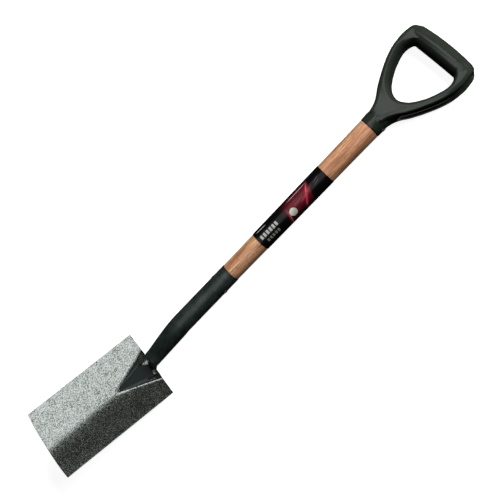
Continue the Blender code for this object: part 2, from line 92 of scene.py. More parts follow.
# Socket
SOCKET_RADIUS = 17.9 * MM
SOCKET_BEND_RADIUS = 18.1 * MM
SOCKET_WALL = 1.7 * MM
RIM_CHAMFER = 0.4 * MM
SOCKET_BEND_X = -128 * MM
NECK_X = -219 * MM
NECK_HALF_WIDTH = 15.8 * MM
NECK_TOP_Z = -4 * MM
NECK_BOTTOM_Z = -26 * MM
BORE_END_X = -118 * MM
TONGUE_LENGTH = 74 * MM
TONGUE_START = 7 * MM
SHOULDER_HALF_WIDTH = 7 * MM  # of the flattened end where it starts
SHOULDER_SLOPE = 0.7          # how fast it widens to the left until it meets the frog's wall
RIGHT_SHOULDER_SLOPE = 5      # and to the right
TONGUE_THICKNESS = 4.6 * MM
TONGUE_TIP_THICKNESS = 1.3 * MM
TONGUE_EDGE_CUT = 1.6 * MM
SEAT_GAP = 0.35 * MM
WALL_GAP = 0.65 * MM
# Sections where the neck drops into the frog, in millimetres: along, thickness, half width.
# The last number is the share of the flattened end's shape, against the neck's oval.
DROP_SECTIONS = ((1, 28, 15.4, 0.2), (3, 19, 12, 0.5), (5, 10, 8.6, 0.9))
RING_POINTS = 96

# Shaft and label
SHAFT_TOP_RADIUS = 19.1 * MM
SHAFT_BOTTOM_RADIUS = 17.2 * MM
COLLAR_X = 335.5 * MM
SHAFT_LOWER_END_X = -70 * MM
SHAFT_UPPER_END_X = 366 * MM
LOWER_TENON_RADIUS = 15.8 * MM
UPPER_TENON_RADIUS = 16.4 * MM
UPPER_TENON_END_RADIUS = 12.6 * MM
TENON_TAPER = 0.6 * MM        # loss of the upper tenon's radius at the rivet
SHAFT_LIP_LENGTH = 0.8 * MM   # rounding where the shaft meets the socket's rim
SHAFT_LIP_DEPTH = 0.6 * MM
LABEL_LOW_X = 74.6 * MM
LABEL_HIGH_X = 232.9 * MM
LABEL_THICKNESS = 0.35 * MM
LABEL_EDGE = 1.5 * MM         # over which the film thins towards its ends
LABEL_RADIUS = 18.5 * MM      # mean radius that the print is laid out on

# Handle
COLLAR_RADIUS = 19.9 * MM
GRIP_X = 497.4 * MM
GRIP_RADIUS = 17.5 * MM
GRIP_END_RADIUS = 16 * MM
GRIP_BOW = 2.2 * MM
GRIP_BARREL_POWER = 2.2       # how late the barrel narrows towards its ends
GRIP_HALF_LENGTH = 60 * MM
GRIP_DOME_START = 52 * MM     # from where its ends are rounded off inside the arms
GRIP_DOME_REACH = 17 * MM
ARM_HALF_DEPTH = 17.2 * MM
COLLAR_SWELL_SHARE = 0.12     # extra share of that depth at the collar
CHANNEL_HALF_HEIGHT = 12.8 * MM
CHANNEL_DEPTH = 8 * MM
FILLET_PASSES = 16
OUTER_ROUND = (7 * MM, 3.9 * MM)     # width and depth of the arms' rounded edge outside
INNER_ROUND = (7.5 * MM, 9 * MM)     # and inside the hand gap
SEAM_RIB = 1.5 * MM                  # rounded rib along the mould's seam, inside the hand gap
PLATE_GRID = 1.7 * MM
PLATE_ROW = 0.866 * PLATE_GRID       # height of an even triangle on that grid
VOXEL = 0.85 * MM

# Stretches over which the arms change, as start and length along the shaft
COLLAR_SWELL = (356 * MM, 36 * MM)   # extra depth at the collar, which fades out
CHANNEL_START = (367 * MM, 15 * MM)  # the channel outside sinks in
GRIP_JOIN = (462 * MM, 30 * MM)      # the depth turns to the grip's
GRIP_FACE = (464 * MM, 18 * MM)      # the hand gap's corner follows the grip's round face
CHANNEL_END = (506 * MM, 6 * MM)

# Half of each outline in millimetres, as distance along the shaft and distance from it.
ARM_OUTSIDE = ((352, 14), (366, 18), (377, 24), (391, 35), (408, 45.6), (430, 57.4), (452, 66),
               (474, 69.7), (489, 69.6), (502, 67), (509.5, 61.5), (512, 50))
HAND_GAP = ((397.5, 0), (399, 9), (403.5, 18), (412, 28), (430, 40.6), (450, 49.6),
            (462, 53), (471, 52.5), (479, 48), (485, 40))
COLLAR_TAPER = ((356, 19.9), (364, 18.9), (376, 16.4), (388, 13.4), (395, 10))

# Rivets
RIVET_RADIUS = 2.4 * MM
RIVET_HEAD_RADIUS = 4.1 * MM
RIVET_HEAD_HEIGHT = 1.2 * MM
RIVET_HEAD_CHAMFER = 0.15 * MM
SOCKET_RIVET_X = -29 * MM
HANDLE_RIVET_X = 349 * MM

# Welds
WELD_START = 22 * MM
WELD_END = 69 * MM
WELD_CROWN = 0.9 * MM
WELD_PITCH = 2.3 * MM
WELD_RIPPLE = 0.14 * MM

# Camera, in the spade's axes
CAMERA_PLACE = Vector((0.2663, -0.5133, 1.1524))
CAMERA_AIM = Vector((0.0509, 0.0031, 0.0))
CAMERA_UP = Vector((0.7111, 0.6819, 0.1728))
CAMERA_LENS = 53.93           # focal length in millimetres, on a sensor 36 mm wide

# Light; the panels in make_lights() are placed in the spade's axes too
WHITE = (0.96, 0.98, 1.0)
PANEL_RADIANCE = 1.3
FILL_RADIANCE = 8.4
AMBIENT_TINT = (0.75, 1.0, 0.65, 1.0)
AMBIENT_STRENGTH = 0.014
FLOOR_REACH = 40              # half the floor's side
FLOOR_GLOW = 0.93


# -------- placing

def box_centre(node):
    low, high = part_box(node)
    return (low + high) / 2


def spade_matrix():
    """The spade's own axes in the part's frame, from the two rivets across the shaft."""
    lower = box_centre("socket_rivet")
    along = (box_centre("handle_rivet") - lower).normalized()
    tilt = Matrix.Rotation(math.atan2(-along.z, along.x), 4, "Y")
    return Matrix.Translation(lower - along * SOCKET_RIVET_X) @ tilt


SPADE = spade_matrix()


def mesh_from(name, bm):
    """Mesh made from bm, which is freed."""
    mesh = bpy.data.meshes.new(name)
    bm.to_mesh(mesh)
    bm.free()
    return mesh


def linked(name, data):
    """New object in the scene for a mesh, light or camera."""
    made = bpy.data.objects.new(name, data)
    bpy.context.scene.collection.objects.link(made)
    return made


def add_piece(name, bm, finish, node, sharp_angle=40):
    """Shows bm in place of a CAD node, with the finish given."""
    bmesh.ops.recalc_face_normals(bm, faces=bm.faces)
    bmesh.ops.transform(bm, matrix=SPADE, verts=bm.verts)
    mesh = mesh_from(name, bm)
    mesh.shade_smooth()
    mesh.set_sharp_from_angle(angle=math.radians(sharp_angle))
    mesh.materials.append(finish)
    piece = linked(name, mesh)
    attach(piece, "root")
    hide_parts(node)
    return piece


def soften_edges(piece, width):
    """Small bevels on the edges that turn by more than 55 degrees."""
    bevel = piece.modifiers.new("soft_edges", "BEVEL")
    bevel.width = width
    bevel.segments = 3
    bevel.limit_method = "ANGLE"
    bevel.angle_limit = math.radians(55)


# -------- shapes

def mixed(start, end, share):
    return start + (end - start) * share


def smooth_share(value):
    value = min(1.0, max(0.0, value))
    return value * value * (3 - 2 * value)


def bridge(bm, first, second, closed=True):
    """Faces between two equal rows of vertices, which are rings if closed."""
    count = len(first)
    for i in range(count if closed else count - 1):
        j = (i + 1) % count
        bm.faces.new((first[i], first[j], second[j], second[i]))


def ramp(x, stretch):
    """Smooth share of a stretch, given as start and length, that x has passed."""
    start, length = stretch
    return smooth_share((x - start) / length)


def loft(rings):
    """Bridges closed rings of equal size, and closes both ends with a fan."""
    bm = bmesh.new()
    rows = [[bm.verts.new(point) for point in ring] for ring in rings]
    count = len(rows[0])
    for lower, upper in zip(rows, rows[1:]):
        bridge(bm, lower, upper)
    for row in (rows[0], rows[-1]):
        centre = sum((vert.co for vert in row), Vector()) / count
        hub = bm.verts.new(centre)
        for i in range(count):
            bm.faces.new((row[i], row[(i + 1) % count], hub))
    return bm


def turns(count):
    """Angles that go evenly once round."""
    return [2 * math.pi * i / count for i in range(count)]


def round_ring(x, radius):
    """Circle round the shaft's line."""
    return [Vector((x, radius * math.cos(a), radius * math.sin(a))) for a in turns(RING_POINTS)]


def cross_ring(x, y, radius, count):
    """Circle round a line that runs across the shaft at x."""
    return [Vector((x + radius * math.cos(a), y, radius * math.sin(a))) for a in turns(count)]


def turned(profile):
    """Solid turned about the X axis from (x, radius) pairs."""
    return loft([round_ring(x, radius) for x, radius in profile])


def curve_point(a, b, c, d, t):
    """Catmull-Rom curve from b to c."""
    square = 2 * a - 5 * b + 4 * c - d
    cube = 3 * b - a - 3 * c + d
    return (2 * b + (c - a) * t + square * t ** 2 + cube * t ** 3) * 0.5


def refined(rings, steps):
    """More rings between the given ones, on a smooth curve through each point's places."""
    fine = []
    ends = [rings[0]] + rings + [rings[-1]]
    for a, b, c, d in zip(ends, ends[1:], ends[2:], ends[3:]):
        for i in range(steps):
            fine.append([curve_point(*four, i / steps) for four in zip(a, b, c, d)])
    fine.append(rings[-1])
    return fine


def shaft_radius(x):
    return mixed(SHAFT_BOTTOM_RADIUS, SHAFT_TOP_RADIUS, x / COLLAR_X)


# -------- blade

def blade_point(along, across, height):
    """Point on the blade: along from the tread, across the width, height over the chord."""
    down = Vector((-math.cos(BLADE_LIFT), 0, math.sin(BLADE_LIFT)))
    front = Vector((math.sin(BLADE_LIFT), 0, math.cos(BLADE_LIFT)))
    tread = Vector((BLADE_TOP_X, 0, BLADE_TOP_Z))
    return tread + down * along + Vector((0, across, 0)) + front * height


def dish_height(across):
    share = abs(across) / (BLADE_WIDTH / 2)
    rise = math.hypot(share, DISH_SOFTNESS) - DISH_SOFTNESS
    full = math.hypot(1, DISH_SOFTNESS) - DISH_SOFTNESS
    return -DISH_DEPTH * (1 - rise / full)


def frog_half_width(along):
    share = max(0.0, 1 - along / FROG_LENGTH)
    return mixed(FROG_LEAST_HALF_WIDTH, FROG_HALF_WIDTH, share)


def floor_height(along):
    share = max(0.0, 1 - along / FROG_LENGTH)
    return -DISH_DEPTH - FROG_DEPTH * share


def floor_half_width(along):
    rim = frog_half_width(along)
    run = (dish_height(rim) - floor_height(along)) / FROG_WALL_SLOPE
    return max(rim - run, 0.35 * rim)


def front_height(along, across):
    rim = frog_half_width(along)
    floor = floor_half_width(along)
    side = abs(across)
    if along >= FROG_LENGTH or side >= rim:
        return dish_height(across)
    if side <= floor:
        return floor_height(along)
    share = (side - floor) / (rim - floor)
    return floor_height(along) + share * (dish_height(rim) - floor_height(along))


def rim_ridge(along, across):
    """Height of the crest along the trough's two rims, which meet at its tip."""
    rim = frog_half_width(along)
    off = (abs(across) - rim) / RIM_RIDGE_WIDTH
    beyond = max(0.0, along - FROG_LENGTH) / (2 * RIM_RIDGE_WIDTH)
    return RIM_RIDGE * math.exp(-off ** 2 - beyond ** 2)


def folded_height(along, across):
    """Height of the front with the trough's folds rounded: the mean over a small disc."""
    total = 2 * front_height(along, across)
    weight = 2
    for reach in (0.5 * FOLD_REACH, FOLD_REACH):
        for angle in turns(8):
            total += front_height(along + reach * math.cos(angle), across + reach * math.sin(angle))
            weight += 1
    return total / weight + rim_ridge(along, across)


def blade_columns(along):
    """Places across the blade, closer together at the trough's folds."""
    rim = frog_half_width(along)
    floor = floor_half_width(along)
    edge = BLADE_WIDTH / 2
    reach = min(1.2 * FOLD_REACH, (rim - floor) / 2.2, 0.8 * floor)
    # Where each stretch starts, and how many columns it has.
    stops = ((0, 4), (floor - reach, 6), (floor + reach, 4), (rim - reach, 7), (rim + reach, 24))
    ends = [stop for stop, _ in stops[1:]] + [edge]
    side = []
    for (start, steps), end in zip(stops, ends):
        side += [mixed(start, end, i / steps) for i in range(1, steps + 1)]
    return [-y for y in reversed(side)] + [0.0] + side


def blade_rows():
    trough_steps = 66
    lower_steps = 60
    rows = [FROG_LENGTH * i / trough_steps for i in range(trough_steps)]
    return rows + [mixed(FROG_LENGTH, BLADE_LENGTH, i / lower_steps) for i in range(lower_steps + 1)]


def press_marks(along, across):
    """Slow unevenness that pressing leaves in the sheet, none along its outline."""
    edge = min(along, BLADE_LENGTH - along, BLADE_WIDTH / 2 - abs(across))
    fade = smooth_share(edge / (12 * MM)) * ramp(abs(across), (14 * MM, 20 * MM))
    place = Vector((along / PRESS_MARK_LENGTH, across / PRESS_MARK_WIDTH, 3.7))
    return PRESS_MARK * fade * noise.noise(place)


def sheet_depth(along, across, height):
    """Depth of the sheet straight down from the chord, which is more where it slopes."""
    step = 0.4 * MM
    rise_along = folded_height(along + step, across) - height
    rise_across = folded_height(along, across + step) - height
    slope = Vector((rise_along, rise_across)).length / step
    return BLADE_THICKNESS * math.hypot(1, min(slope, 1.0))


def sheet_rows(bm):
    """Rows of vertices down the blade's front and down its back."""
    fronts = []
    backs = []
    for along in blade_rows():
        front_row = []
        back_row = []
        for across in blade_columns(along):
            share = across / (BLADE_WIDTH / 2)
            bow = EDGE_BOW * (1 - share ** 2) * max(0.0, along - FROG_LENGTH)
            place = along + bow / (BLADE_LENGTH - FROG_LENGTH)
            height = folded_height(along, across)
            depth = sheet_depth(along, across, height)
            height += press_marks(along, across)
            front_row.append(bm.verts.new(blade_point(place, across, height)))
            back_row.append(bm.verts.new(blade_point(place, across, height - depth)))
        fronts.append(front_row)
        backs.append(back_row)
    return fronts, backs


def make_blade(finish):
    bm = bmesh.new()
    fronts, backs = sheet_rows(bm)
    for sheet in (fronts, backs):
        for upper, lower in zip(sheet, sheet[1:]):
            bridge(bm, upper, lower, closed=False)
    for row in (0, -1):
        bridge(bm, fronts[row], backs[row], closed=False)
    for column in (0, -1):
        front = [row[column] for row in fronts]
        back = [row[column] for row in backs]
        bridge(bm, front, back, closed=False)
    piece = add_piece("blade_sheet", bm, finish, "blade", sharp_angle=50)
    soften_edges(piece, SHEET_EDGE_ROUND)


# -------- socket and welds

def oval_ring(x_top, x_bottom, half_width, top, bottom):
    """Oval section whose top and bottom may lie at different x, so it can lean."""
    ring = []
    for angle in turns(RING_POINTS):
        share = (1 + math.sin(angle)) / 2
        ring.append(Vector((
            mixed(x_bottom, x_top, share),
            half_width * math.cos(angle),
            mixed(bottom, top, share))))
    return ring


def neck_rings():
    """Sections from the round tube to the neck, whose front is pressed back most."""
    rings = []
    steps = 16
    for i in range(1, steps + 1):
        share = i / steps
        pressed = (smooth_share(share) + share ** 2) / 2
        x = mixed(SOCKET_BEND_X, NECK_X, share)
        half_width = mixed(SOCKET_BEND_RADIUS, NECK_HALF_WIDTH, pressed)
        top = mixed(SOCKET_BEND_RADIUS, NECK_TOP_Z, pressed)
        bottom = mixed(-SOCKET_BEND_RADIUS, NECK_BOTTOM_Z, math.sqrt(share))
        rings.append(oval_ring(x, x, half_width, top, bottom))
    return rings


def wall_across(along, height):
    """Distance from the middle to the frog's sloping wall at a height over its floor."""
    floor = floor_half_width(along)
    rise = dish_height(frog_half_width(along)) - floor_height(along)
    return floor + height * (frog_half_width(along) - floor) / rise


def tongue_section(along, lift, widest):
    """Corners of half the tongue's section, as (ring step, across, height over the floor)."""
    cut = min(TONGUE_EDGE_CUT, 0.6 * lift)

    def side(height):
        return min(wall_across(along, height) - WALL_GAP, widest)

    quarter = RING_POINTS // 4
    return (
        (-quarter, 0, SEAT_GAP),
        (-quarter * 0.3, side(SEAT_GAP), SEAT_GAP),
        (0, side(lift / 2), lift / 2),
        (quarter * 0.2, side(lift - cut), lift - cut),
        (quarter * 0.4, side(lift - cut) - 1.3 * cut, lift),
        (quarter, 0, lift),
    )


def tongue_ring(along, lift, widest, right_widest):
    """Closed section whose two halves may reach out to different widths."""
    halves = {1: tongue_section(along, lift, widest), -1: tongue_section(along, lift, right_widest)}
    quarter = RING_POINTS // 4
    ring = []
    for i in range(RING_POINTS):
        side = -1 if quarter < i <= 3 * quarter else 1
        step = 2 * quarter - i if side < 0 else (i + quarter) % RING_POINTS - quarter
        corners = halves[side]
        for (low, y1, h1), (high, y2, h2) in zip(corners, corners[1:]):
            if low <= step <= high:
                share = (step - low) / (high - low)
                across = side * mixed(y1, y2, share)
                height = floor_height(along) + mixed(h1, h2, share)
                ring.append(blade_point(along, across, height))
                break
    return ring


def tongue_lift(along):
    """Thickness of the flattened end, which thins towards the frog's tip."""
    share = (along - TONGUE_START) / (TONGUE_LENGTH - TONGUE_START)
    return mixed(TONGUE_THICKNESS, TONGUE_TIP_THICKNESS, share)


def shoulder_half_width(along, slope):
    """Half width that the flattened end widens to, before the frog's walls limit it."""
    return SHOULDER_HALF_WIDTH + slope * (along - TONGUE_START)


def tongue_rings():
    """Sections from the neck's drop into the frog to the tongue's tip."""
    rings = []
    for section in DROP_SECTIONS:
        along, lift, widest = (value * MM for value in section[:3])
        floor = floor_height(along)
        top = blade_point(along, 0, floor + lift)
        bottom = blade_point(along, 0, floor + SEAT_GAP)
        oval = oval_ring(top.x, bottom.x, widest, top.z, bottom.z)
        square = tongue_ring(along, lift, widest, widest)
        rings.append([start.lerp(end, section[3]) for start, end in zip(oval, square)])
    steps = 24
    for i in range(steps + 1):
        along = mixed(TONGUE_START, TONGUE_LENGTH, i / steps)
        left = shoulder_half_width(along, SHOULDER_SLOPE)
        right = shoulder_half_width(along, RIGHT_SHOULDER_SLOPE)
        rings.append(tongue_ring(along, tongue_lift(along), left, right))
    return rings


def make_socket(finish):
    """Bored tube with a rounded rim, which runs on into the neck and the flattened end."""
    bore = SOCKET_RADIUS - SOCKET_WALL
    rim = [round_ring(BORE_END_X, bore), round_ring(-RIM_CHAMFER, bore)]
    rim_steps = 8
    for i in range(rim_steps + 1):
        angle = math.pi * i / rim_steps
        radius = SOCKET_RADIUS - SOCKET_WALL / 2 * (1 + math.cos(angle))
        rim.append(round_ring(RIM_CHAMFER * (math.sin(angle) - 1), radius))
    tube = []
    tube_steps = 9
    for i in range(1, tube_steps + 1):
        share = i / tube_steps
        radius = mixed(SOCKET_RADIUS, SOCKET_BEND_RADIUS, share)
        tube.append(round_ring(SOCKET_BEND_X * share, radius))
    bm = loft(rim + refined(tube + neck_rings() + tongue_rings(), 3))
    add_piece("socket_tube", bm, finish, "socket")


def weld_corners(along, crown):
    """Corners of the bead's section, as (across, height over the floor)."""
    section = tongue_section(along, tongue_lift(along), BLADE_WIDTH)
    (_, low_across, low), (_, top_across, top) = section[3:5]
    over = 0.5 * MM
    clear = 0.2 * MM
    return (
        (low_across - 0.1 * MM, low + 0.6 * MM),
        (wall_across(along, top + over) - WALL_GAP, top + over),
        (mixed(low_across, top_across, 0.3) + clear, top + crown),
        (top_across + clear, top + over),
    )


def make_weld(name, node, side, finish):
    """Rippled bead in the groove between the tongue's chamfer and one wall of the frog."""
    rings = []
    steps = 150
    for i in range(steps + 1):
        share = i / steps
        along = mixed(WELD_START, WELD_END, share)
        ripple = WELD_RIPPLE * (abs(math.sin(math.pi * along / WELD_PITCH)) - 0.5)
        lumps = WELD_RIPPLE * noise.noise(Vector((along / (7 * MM), side, 0)))
        crown = (WELD_CROWN + ripple + lumps) * math.sqrt(min(1.0, 12 * share, 12 * (1 - share)))
        corners = weld_corners(along, crown)
        floor = floor_height(along)
        points = [blade_point(along, side * across, floor + height) for across, height in corners]
        closed = [points[-1]] + points + points[:2]
        ring = []
        for a, b, c, d in zip(closed, closed[1:], closed[2:], closed[3:]):
            ring += [curve_point(a, b, c, d, k / 4) for k in range(4)]
        rings.append(ring)
    add_piece(name, loft(rings), finish, node, sharp_angle=70)


# -------- shaft, label and rivets

def make_shaft(finish):
    """Turned shaft, rounded where it meets the socket's rim, with a thinner tenon at each end."""
    profile = [
        (SHAFT_LOWER_END_X, 0.55 * SHAFT_BOTTOM_RADIUS),
        (SHAFT_LOWER_END_X + 4 * MM, 0.7 * SHAFT_BOTTOM_RADIUS),
        (SOCKET_RIVET_X - 8 * MM, LOWER_TENON_RADIUS - 0.8 * MM),
        (SOCKET_RIVET_X + 8 * MM, LOWER_TENON_RADIUS),
        (GAP, LOWER_TENON_RADIUS),
        (GAP, SHAFT_BOTTOM_RADIUS - SHAFT_LIP_DEPTH),
    ]
    lip_steps = 4
    for i in range(1, lip_steps + 1):
        angle = 0.5 * math.pi * i / lip_steps
        x = GAP + SHAFT_LIP_LENGTH * (1 - math.cos(angle))
        profile.append((x, SHAFT_BOTTOM_RADIUS - SHAFT_LIP_DEPTH * (1 - math.sin(angle))))
    steps = 60
    end = 2 * MM
    for i in range(1, steps):
        x = mixed(end, COLLAR_X - end, i / steps)
        profile.append((x, shaft_radius(x)))
    profile += [
        (COLLAR_X - GAP, shaft_radius(COLLAR_X)),
        (COLLAR_X - GAP, UPPER_TENON_RADIUS),
        (HANDLE_RIVET_X + 5 * MM, UPPER_TENON_RADIUS - TENON_TAPER),
        (SHAFT_UPPER_END_X, UPPER_TENON_END_RADIUS),
    ]
    add_piece("wooden_shaft", turned(profile), finish, "shaft")


def make_label(finish):
    """Film sleeve round the shaft, thinner at its two ends."""
    corners = []
    steps = 40
    for i in range(steps + 1):
        x = mixed(LABEL_LOW_X, LABEL_HIGH_X, i / steps)
        edge = min(x - LABEL_LOW_X, LABEL_HIGH_X - x)
        skin = LABEL_THICKNESS * mixed(0.6, 1, smooth_share(edge / LABEL_EDGE))
        corners.append((x, shaft_radius(x) + GAP + skin))
    corners += [(x, shaft_radius(x) + GAP) for x in (LABEL_HIGH_X, LABEL_LOW_X)]
    bm = bmesh.new()
    rows = [[bm.verts.new(point) for point in round_ring(x, radius)] for x, radius in corners]
    for i, row in enumerate(rows):
        bridge(bm, row, rows[(i + 1) % len(rows)])
    add_piece("label_film_sleeve", bm, finish, "label_sleeve")


def make_rivet(name, node, x, seat, finish):
    """Shank across the shaft with a low dome on each end; seat is the outside it sits on."""
    under = seat + GAP
    half = [(under, RIVET_RADIUS), (under, RIVET_HEAD_RADIUS - RIVET_HEAD_CHAMFER)]
    edge = 0.25 * RIVET_HEAD_HEIGHT
    dome_steps = 12
    dome_end = math.radians(89)
    for i in range(dome_steps + 1):
        angle = dome_end * i / dome_steps
        y = under + edge + (RIVET_HEAD_HEIGHT - edge) * math.sin(angle)
        half.append((y, RIVET_HEAD_RADIUS * math.cos(angle)))
    full = [(-y, radius) for y, radius in reversed(half)] + half
    rings = [cross_ring(x, y, radius, 40) for y, radius in full]
    add_piece(name, loft(rings), finish, node, sharp_angle=50)


# -------- handle

def smooth_line(points, steps):
    """Smooth curve through points given in millimetres."""
    return [ring[0] for ring in refined([[Vector(point) * MM] for point in points], steps)]


def mirrored_outline(half):
    """Closed outline from one side's half, with evenly spaced points along straight gaps."""
    other = [Vector((place.x, -place.y)) for place in reversed(half) if place.y > 0.1 * MM]
    corners = list(half) + other
    outline = []
    for start, end in zip(corners, corners[1:] + corners[:1]):
        pieces = max(1, round((end - start).length / PLATE_GRID))
        outline += [start.lerp(end, i / pieces) for i in range(pieces)]
    return outline


def outline_normals(outline):
    """Unit vectors that point out of a mirrored outline, which runs clockwise."""
    normals = []
    for i in range(len(outline)):
        run = (outline[(i + 1) % len(outline)] - outline[i - 1]).normalized()
        normals.append(Vector((-run.y, run.x)))
    return normals


def plate_half_depth(x):
    """Half depth of the arms: deeper at the collar, and rounded about the grip at the end."""
    depth = ARM_HALF_DEPTH * (1 + COLLAR_SWELL_SHARE * (1 - ramp(x, COLLAR_SWELL)))
    depth += (GRIP_END_RADIUS - ARM_HALF_DEPTH) * ramp(x, GRIP_JOIN)
    beyond = max(0.0, x - GRIP_X)
    return depth * math.sqrt(max(0.1, 1 - (beyond / GRIP_END_RADIUS) ** 2))


def grip_face_shift(x, height):
    """Extra x that keeps the hand gap's corner on the grip's round surface."""
    radius = GRIP_END_RADIUS
    curve = radius - math.sqrt(radius ** 2 - min(height, 0.97 * radius) ** 2)
    return curve * ramp(x, GRIP_FACE)


def channel_share(x):
    """How far the channel outside the arms has sunk in at x: 1 is its full depth."""
    return ramp(x, CHANNEL_START) * (1 - ramp(x, CHANNEL_END))


def outline_distance(places, outline):
    """Distance of each place to a closed outline, and whether the outline holds it."""
    near = np.full(len(places), np.inf)
    crossings = np.zeros(len(places), int)
    for here, after in zip(outline, outline[1:] + outline[:1]):
        a = np.array(here)
        b = np.array(after)
        run = b - a
        share = np.clip((places - a) @ run / (run @ run), 0, 1)
        near = np.minimum(near, np.linalg.norm(places - a - share[:, None] * run, axis=1))
        spans = (a[1] > places[:, 1]) != (b[1] > places[:, 1])
        if run[1]:
            crossings += spans & (places[:, 0] < a[0] + (places[:, 1] - a[1]) * run[0] / run[1])
    return near, crossings % 2 == 1


def rounding_drop(distance, rounding):
    """How far a rounded edge lies below the face it starts from."""
    width, depth = rounding
    share = 1 - min(1.0, distance / width)
    return depth * (1 - math.sqrt(max(0.0, 1 - share ** 2)))


def staggered_grid(outline):
    """Corners of even triangles that cover an outline."""
    xs = [place.x for place in outline]
    ys = [place.y for place in outline]
    grid = []
    row = 0
    y = min(ys)
    while y < max(ys):
        x = min(xs) + (row % 2) * PLATE_GRID / 2
        while x < max(xs):
            grid.append((x, y))
            x += PLATE_GRID
        row += 1
        y += PLATE_ROW
    return np.array(grid)


def plate_places(outside, gap):
    """Outline points and a staggered grid inside the arms, with the triangles between them."""
    grid = staggered_grid(outside)
    far_out, held_out = outline_distance(grid, outside)
    far_gap, held_gap = outline_distance(grid, gap)
    clear = 0.55 * PLATE_GRID
    keep = held_out & ~held_gap & (far_out > clear) & (far_gap > clear)
    places = list(outside) + list(gap) + [Vector(place) for place in grid[keep]]
    edges = []
    for start, count in ((0, len(outside)), (len(outside), len(gap))):
        edges += [(start + i, start + (i + 1) % count) for i in range(count)]
    fine, _, faces, *_ = delaunay_2d_cdt(places, edges, [], 1, 1e-7)
    middles = np.array([sum((fine[i] for i in face), Vector((0, 0))) / 3 for face in faces])
    _, in_gap = outline_distance(middles, gap)
    return fine, [face for face, lost in zip(faces, in_gap) if not lost]


def plate_caps(bm, outside, gap):
    """Vertices of the plate's front and of its back, which start with both outlines' points."""
    places, faces = plate_places(outside, gap)
    flat = np.array(places)
    far_out, _ = outline_distance(flat, outside)
    far_gap, _ = outline_distance(flat, gap)
    caps = []
    for side in (1, -1):
        cap = []
        for place, out, inner in zip(places, far_out, far_gap):
            drop = max(rounding_drop(out, OUTER_ROUND), rounding_drop(inner, INNER_ROUND))
            height = plate_half_depth(place.x) - drop
            shift = grip_face_shift(place.x, height) * math.exp(-inner / (3 * MM))
            cap.append(bm.verts.new((place.x + shift, place.y, side * height)))
        for face in faces:
            bm.faces.new([cap[i] for i in face])
        caps.append(cap)
    return caps


def mirrored_levels(front):
    """An edge wall's levels from front to back, given those of its front half."""
    return front + [(-share, inset, channel) for share, inset, channel in reversed(front)]


def wall_row(bm, outline, level, outwards):
    """Vertices along an edge wall, at one level: share of the half depth, inset, channel share."""
    share, inset, channel = level
    row = []
    for place, normal in zip(outline, outline_normals(outline)):
        cut = (inset + channel * CHANNEL_DEPTH * channel_share(place.x)) * outwards
        height = share * plate_half_depth(place.x)
        x = place.x - normal.x * cut
        if outwards < 0:
            x = max(x, place.x + grip_face_shift(place.x, abs(height)))
        row.append(bm.verts.new((x, place.y - normal.y * cut, height)))
    return row


def arm_plate():
    """Y-shaped plate with rounded edges, with a channel along the outside of each arm."""
    outside = mirrored_outline(smooth_line(ARM_OUTSIDE, 8))
    gap = mirrored_outline(smooth_line(HAND_GAP, 8))
    bm = bmesh.new()
    front, back = plate_caps(bm, outside, gap)
    flange = CHANNEL_HALF_HEIGHT / ARM_HALF_DEPTH
    rib = SEAM_RIB / ARM_HALF_DEPTH
    outer = [(flange, 0.3 * MM, 0.05), (flange - 0.05, 0, 1), (flange - 0.35, 0, 1.04)]
    inner = [(0.3, 0, 0), (rib, 0, 0), (0.5 * rib, -SEAM_RIB, 0)]
    start = 0
    for outline, levels, outwards in ((outside, outer, 1), (gap, inner, -1)):
        end = start + len(outline)
        rows = [front[start:end]]
        rows += [wall_row(bm, outline, level, outwards) for level in mirrored_levels(levels)]
        rows.append(back[start:end])
        for upper, lower in zip(rows, rows[1:]):
            bridge(bm, upper, lower)
        start = end
    return bm


def grip_bar():
    """Barrel-shaped bar across the top of the handle."""
    rings = []
    steps = 60
    for i in range(steps + 1):
        share = 2 * i / steps - 1
        barrel = mixed(GRIP_RADIUS, GRIP_END_RADIUS, abs(share) ** GRIP_BARREL_POWER)
        past = max(0.0, abs(share) * GRIP_HALF_LENGTH - GRIP_DOME_START) / GRIP_DOME_REACH
        radius = barrel * math.sqrt(1 - past ** 2)
        middle = GRIP_X + GRIP_BOW * (1 - share ** 2)
        rings.append(cross_ring(middle, GRIP_HALF_LENGTH * share, radius, 72))
    return loft(rings)


def collar_cone():
    """Round collar that takes the shaft's end and tapers away inside the crotch of the arms."""
    profile = [
        (COLLAR_X, COLLAR_RADIUS - 0.8 * MM),
        (COLLAR_X + 0.25 * MM, COLLAR_RADIUS - 0.25 * MM),
        (COLLAR_X + 0.8 * MM, COLLAR_RADIUS),
    ]
    profile += [tuple(place) for place in smooth_line(COLLAR_TAPER, 6)]
    return turned(profile)


def scratch_object(name, bm):
    """Object that only helps to make the moulding, and is removed."""
    bmesh.ops.recalc_face_normals(bm, faces=bm.faces)
    return linked(name, mesh_from(name, bm))


def settled_mesh(made):
    """The object's mesh with its modifiers applied."""
    bpy.context.view_layer.update()
    shown = made.evaluated_get(bpy.context.evaluated_depsgraph_get())
    return bpy.data.meshes.new_from_object(shown)


def bore_cutter():
    """Room for the shaft's upper tenon, with a gap all round."""
    return turned([
        (COLLAR_X - 5 * MM, UPPER_TENON_RADIUS + GAP),
        (COLLAR_X, UPPER_TENON_RADIUS + GAP),
        (HANDLE_RIVET_X + 5 * MM, UPPER_TENON_RADIUS - TENON_TAPER + GAP),
        (SHAFT_UPPER_END_X + 1 * MM, UPPER_TENON_END_RADIUS + GAP),
    ])


def rivet_hole_cutter():
    half = COLLAR_RADIUS + 8 * MM
    return loft([cross_ring(HANDLE_RIVET_X, y, RIVET_RADIUS + GAP, 32) for y in (-half, half)])


